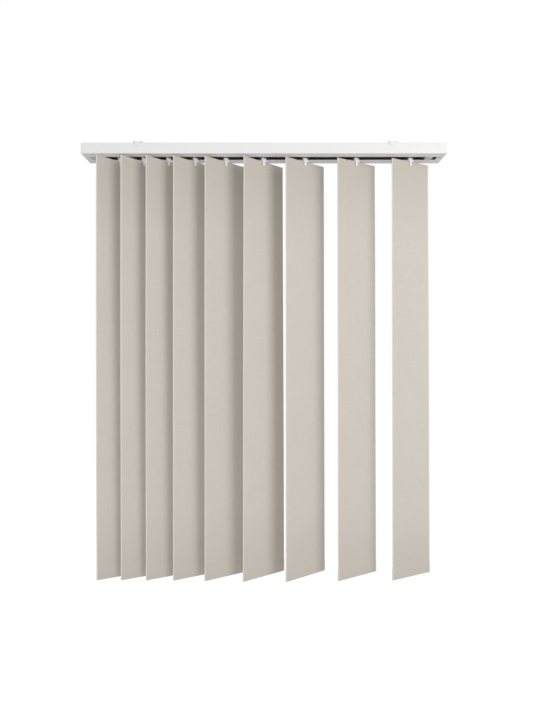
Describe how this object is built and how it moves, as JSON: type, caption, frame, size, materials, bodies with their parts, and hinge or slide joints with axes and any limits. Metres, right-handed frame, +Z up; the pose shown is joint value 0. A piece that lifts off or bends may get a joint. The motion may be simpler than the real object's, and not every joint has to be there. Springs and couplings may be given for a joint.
{
  "type": "vertical blind",
  "caption": "Vertical blind with taupe fabric vanes on hooks under a white ceiling rail with a slot, carriers and tilt drive.",
  "frame": {"origin": "on the ceiling plane, midway between the screw holes of the two ceiling clips", "axes": "+X along the rail towards its control end, +Y from the room towards the window, +Z up"},
  "size_m": [1.02, 0.0762, 1.2271],
  "materials": {
    "rail_paint": "smooth white powder coat",
    "white_plastic": "satin moulded",
    "housing_plastic": "fine matt moulded",
    "black_plastic": "matt moulded",
    "clip_steel": "white coated spring steel",
    "bare_aluminium": "drawn",
    "bare_steel": "drawn",
    "vane_fabric": "plain taupe cloth"
  },
  "bodies": {
    "rail_unit": {"head_rail": "rail_paint", "end_cap_left": "white_plastic", "end_cap_right": "white_plastic", "return_housing": "housing_plastic", "control_housing": "housing_plastic", "ceiling_clip_left": "clip_steel", "ceiling_clip_right": "clip_steel", "cord_pulley_pin": "bare_steel"},
    "tilt_rod_unit": {"tilt_rod": "bare_aluminium", "rod_pinion": "white_plastic"},
    "chain_wheel_unit": {"chain_wheel": "white_plastic", "drive_gear": "white_plastic"},
    "return_wheel": {"return_pulley": "white_plastic"},
    "cord_wheel_front": {"cord_pulley_front": "white_plastic"},
    "cord_wheel_back": {"cord_pulley_back": "white_plastic"},
    "traveller_1": {"carrier_1": "black_plastic", "spacer_strip_1": "bare_steel"},
    "hung_vane_1": {"vane_hook_1": "white_plastic", "vane_1": "vane_fabric"},
    "worm_unit_1": {"worm_1": "white_plastic"},
    "traveller_2": {"carrier_2": "black_plastic", "spacer_strip_2": "bare_steel"},
    "hung_vane_2": {"vane_hook_2": "white_plastic", "vane_2": "vane_fabric"},
    "worm_unit_2": {"worm_2": "white_plastic"},
    "traveller_3": {"carrier_3": "black_plastic", "spacer_strip_3": "bare_steel"},
    "hung_vane_3": {"vane_hook_3": "white_plastic", "vane_3": "vane_fabric"},
    "worm_unit_3": {"worm_3": "white_plastic"},
    "traveller_4": {"carrier_4": "black_plastic", "spacer_strip_4": "bare_steel"},
    "hung_vane_4": {"vane_hook_4": "white_plastic", "vane_4": "vane_fabric"},
    "worm_unit_4": {"worm_4": "white_plastic"},
    "traveller_5": {"carrier_5": "black_plastic", "spacer_strip_5": "bare_steel"},
    "hung_vane_5": {"vane_hook_5": "white_plastic", "vane_5": "vane_fabric"},
    "worm_unit_5": {"worm_5": "white_plastic"},
    "traveller_6": {"carrier_6": "black_plastic", "spacer_strip_6": "bare_steel"},
    "hung_vane_6": {"vane_hook_6": "white_plastic", "vane_6": "vane_fabric"},
    "worm_unit_6": {"worm_6": "white_plastic"},
    "traveller_7": {"carrier_7": "black_plastic", "spacer_strip_7": "bare_steel"},
    "hung_vane_7": {"vane_hook_7": "white_plastic", "vane_7": "vane_fabric"},
    "worm_unit_7": {"worm_7": "white_plastic"},
    "traveller_8": {"carrier_8": "black_plastic", "spacer_strip_8": "bare_steel"},
    "hung_vane_8": {"vane_hook_8": "white_plastic", "vane_8": "vane_fabric"},
    "worm_unit_8": {"worm_8": "white_plastic"},
    "traveller_9": {"carrier_9": "black_plastic", "cord_clamp": "white_plastic"},
    "hung_vane_9": {"vane_hook_9": "white_plastic", "vane_9": "vane_fabric"},
    "worm_unit_9": {"worm_9": "white_plastic"}
  },
  "joints": [
    {"name": "traverse_1", "type": "slide", "parent": "rail_unit", "child": "traveller_1", "axis": [1, 0, 0], "range_m": [-0.04, 0.00249]},
    {"name": "tilt_1", "type": "hinge", "parent": "traveller_1", "child": "hung_vane_1", "pos_m": [-0.414, 0, -0.03], "axis": [0, 0, 1], "range_deg": [-9, 131]},
    {"name": "worm_spin_1", "type": "hinge", "parent": "traveller_1", "child": "worm_unit_1", "pos_m": [-0.414, 0.0105, -0.0202], "axis": [1, 0, 0], "range_deg": [-68, 1044]},
    {"name": "traverse_2", "type": "slide", "parent": "rail_unit", "child": "traveller_2", "axis": [1, 0, 0], "range_m": [-0.07748, 0.00393]},
    {"name": "tilt_2", "type": "hinge", "parent": "traveller_2", "child": "hung_vane_2", "pos_m": [-0.34652, 0, -0.03], "axis": [0, 0, 1], "range_deg": [-9, 131]},
    {"name": "worm_spin_2", "type": "hinge", "parent": "traveller_2", "child": "worm_unit_2", "pos_m": [-0.34652, 0.0105, -0.0202], "axis": [1, 0, 0], "range_deg": [-68, 1044]},
    {"name": "traverse_3", "type": "slide", "parent": "rail_unit", "child": "traveller_3", "axis": [1, 0, 0], "range_m": [-0.11745, 0.00546]},
    {"name": "tilt_3", "type": "hinge", "parent": "traveller_3", "child": "hung_vane_3", "pos_m": [-0.27655, 0, -0.03], "axis": [0, 0, 1], "range_deg": [-9, 131]},
    {"name": "worm_spin_3", "type": "hinge", "parent": "traveller_3", "child": "worm_unit_3", "pos_m": [-0.27655, 0.0105, -0.0202], "axis": [1, 0, 0], "range_deg": [-68, 1044]},
    {"name": "traverse_4", "type": "slide", "parent": "rail_unit", "child": "traveller_4", "axis": [1, 0, 0], "range_m": [-0.16362, 0.00722]},
    {"name": "tilt_4", "type": "hinge", "parent": "traveller_4", "child": "hung_vane_4", "pos_m": [-0.20038, 0, -0.03], "axis": [0, 0, 1], "range_deg": [-9, 131]},
    {"name": "worm_spin_4", "type": "hinge", "parent": "traveller_4", "child": "worm_unit_4", "pos_m": [-0.20038, 0.0105, -0.0202], "axis": [1, 0, 0], "range_deg": [-68, 1044]},
    {"name": "traverse_5", "type": "slide", "parent": "rail_unit", "child": "traveller_5", "axis": [1, 0, 0], "range_m": [-0.22139, 0.00944]},
    {"name": "tilt_5", "type": "hinge", "parent": "traveller_5", "child": "hung_vane_5", "pos_m": [-0.11261, 0, -0.03], "axis": [0, 0, 1], "range_deg": [-9, 131]},
    {"name": "worm_spin_5", "type": "hinge", "parent": "traveller_5", "child": "worm_unit_5", "pos_m": [-0.11261, 0.0105, -0.0202], "axis": [1, 0, 0], "range_deg": [-68, 1044]},
    {"name": "traverse_6", "type": "slide", "parent": "rail_unit", "child": "traveller_6", "axis": [1, 0, 0], "range_m": [-0.29903, 0.01241]},
    {"name": "tilt_6", "type": "hinge", "parent": "traveller_6", "child": "hung_vane_6", "pos_m": [-0.00497, 0, -0.03], "axis": [0, 0, 1], "range_deg": [-9, 131]},
    {"name": "worm_spin_6", "type": "hinge", "parent": "traveller_6", "child": "worm_unit_6", "pos_m": [-0.00497, 0.0105, -0.0202], "axis": [1, 0, 0], "range_deg": [-68, 1044]},
    {"name": "traverse_7", "type": "slide", "parent": "rail_unit", "child": "traveller_7", "axis": [1, 0, 0], "range_m": [-0.38744, 0.01579]},
    {"name": "tilt_7", "type": "hinge", "parent": "traveller_7", "child": "hung_vane_7", "pos_m": [0.11344, 0, -0.03], "axis": [0, 0, 1], "range_deg": [-9, 131]},
    {"name": "worm_spin_7", "type": "hinge", "parent": "traveller_7", "child": "worm_unit_7", "pos_m": [0.11344, 0.0105, -0.0202], "axis": [1, 0, 0], "range_deg": [-68, 1044]},
    {"name": "traverse_8", "type": "slide", "parent": "rail_unit", "child": "traveller_8", "axis": [1, 0, 0], "range_m": [-0.50399, 0.02025]},
    {"name": "tilt_8", "type": "hinge", "parent": "traveller_8", "child": "hung_vane_8", "pos_m": [0.25999, 0, -0.03], "axis": [0, 0, 1], "range_deg": [-9, 131]},
    {"name": "worm_spin_8", "type": "hinge", "parent": "traveller_8", "child": "worm_unit_8", "pos_m": [0.25999, 0.0105, -0.0202], "axis": [1, 0, 0], "range_deg": [-68, 1044]},
    {"name": "traverse_9", "type": "slide", "parent": "rail_unit", "child": "traveller_9", "axis": [1, 0, 0], "range_m": [-0.627, 0.024]},
    {"name": "tilt_9", "type": "hinge", "parent": "traveller_9", "child": "hung_vane_9", "pos_m": [0.414, 0, -0.03], "axis": [0, 0, 1], "range_deg": [-8, 130]},
    {"name": "worm_spin_9", "type": "hinge", "parent": "traveller_9", "child": "worm_unit_9", "pos_m": [0.414, 0.0105, -0.0202], "axis": [1, 0, 0], "range_deg": [-68, 1044]},
    {"name": "rod_spin", "type": "hinge", "parent": "rail_unit", "child": "tilt_rod_unit", "pos_m": [0, 0.0105, -0.0202], "axis": [1, 0, 0], "range_deg": [-68, 1044]},
    {"name": "chain_wheel_spin", "type": "hinge", "parent": "rail_unit", "child": "chain_wheel_unit", "pos_m": [0.4812, 0, -0.0202], "axis": [1, 0, 0], "range_deg": [-1148, 74.4]},
    {"name": "return_wheel_spin", "type": "hinge", "parent": "rail_unit", "child": "return_wheel", "pos_m": [-0.482, -0.004, -0.0086], "axis": [0, 0, 1], "range_deg": [-5997.4, 239.2]},
    {"name": "cord_wheel_front_spin", "type": "hinge", "parent": "rail_unit", "child": "cord_wheel_front", "pos_m": [0.492, -0.00635, -0.0147], "axis": [0, 1, 0], "range_deg": [-6541.7, 260]},
    {"name": "cord_wheel_back_spin", "type": "hinge", "parent": "rail_unit", "child": "cord_wheel_back", "pos_m": [0.492, -0.00165, -0.0147], "axis": [0, 1, 0], "range_deg": [-260, 6541.7]}
  ],
  "couplings": [
    {"joint": "traverse_1", "follows": "traverse_9", "ratio": 0.062201},
    {"joint": "tilt_1", "follows": "tilt_9", "ratio": 1},
    {"joint": "worm_spin_1", "follows": "tilt_9", "ratio": 8},
    {"joint": "traverse_2", "follows": "traverse_9", "ratio": 0.12198},
    {"joint": "tilt_2", "follows": "tilt_9", "ratio": 1},
    {"joint": "worm_spin_2", "follows": "tilt_9", "ratio": 8},
    {"joint": "traverse_3", "follows": "traverse_9", "ratio": 0.18572},
    {"joint": "tilt_3", "follows": "tilt_9", "ratio": 1},
    {"joint": "worm_spin_3", "follows": "tilt_9", "ratio": 8},
    {"joint": "traverse_4", "follows": "traverse_9", "ratio": 0.25937},
    {"joint": "tilt_4", "follows": "tilt_9", "ratio": 1},
    {"joint": "worm_spin_4", "follows": "tilt_9", "ratio": 8},
    {"joint": "traverse_5", "follows": "traverse_9", "ratio": 0.3515},
    {"joint": "tilt_5", "follows": "tilt_9", "ratio": 1},
    {"joint": "worm_spin_5", "follows": "tilt_9", "ratio": 8},
    {"joint": "traverse_6", "follows": "traverse_9", "ratio": 0.47533},
    {"joint": "tilt_6", "follows": "tilt_9", "ratio": 1},
    {"joint": "worm_spin_6", "follows": "tilt_9", "ratio": 8},
    {"joint": "traverse_7", "follows": "traverse_9", "ratio": 0.61633},
    {"joint": "tilt_7", "follows": "tilt_9", "ratio": 1},
    {"joint": "worm_spin_7", "follows": "tilt_9", "ratio": 8},
    {"joint": "traverse_8", "follows": "traverse_9", "ratio": 0.80222},
    {"joint": "tilt_8", "follows": "tilt_9", "ratio": 1},
    {"joint": "worm_spin_8", "follows": "tilt_9", "ratio": 8},
    {"joint": "worm_spin_9", "follows": "tilt_9", "ratio": 8},
    {"joint": "rod_spin", "follows": "tilt_9", "ratio": 8},
    {"joint": "chain_wheel_spin", "follows": "tilt_9", "ratio": -8.8},
    {"joint": "return_wheel_spin", "follows": "traverse_9", "rad_per_m": 166.67},
    {"joint": "cord_wheel_front_spin", "follows": "traverse_9", "rad_per_m": 181.82},
    {"joint": "cord_wheel_back_spin", "follows": "traverse_9", "rad_per_m": -181.82}
  ]
}
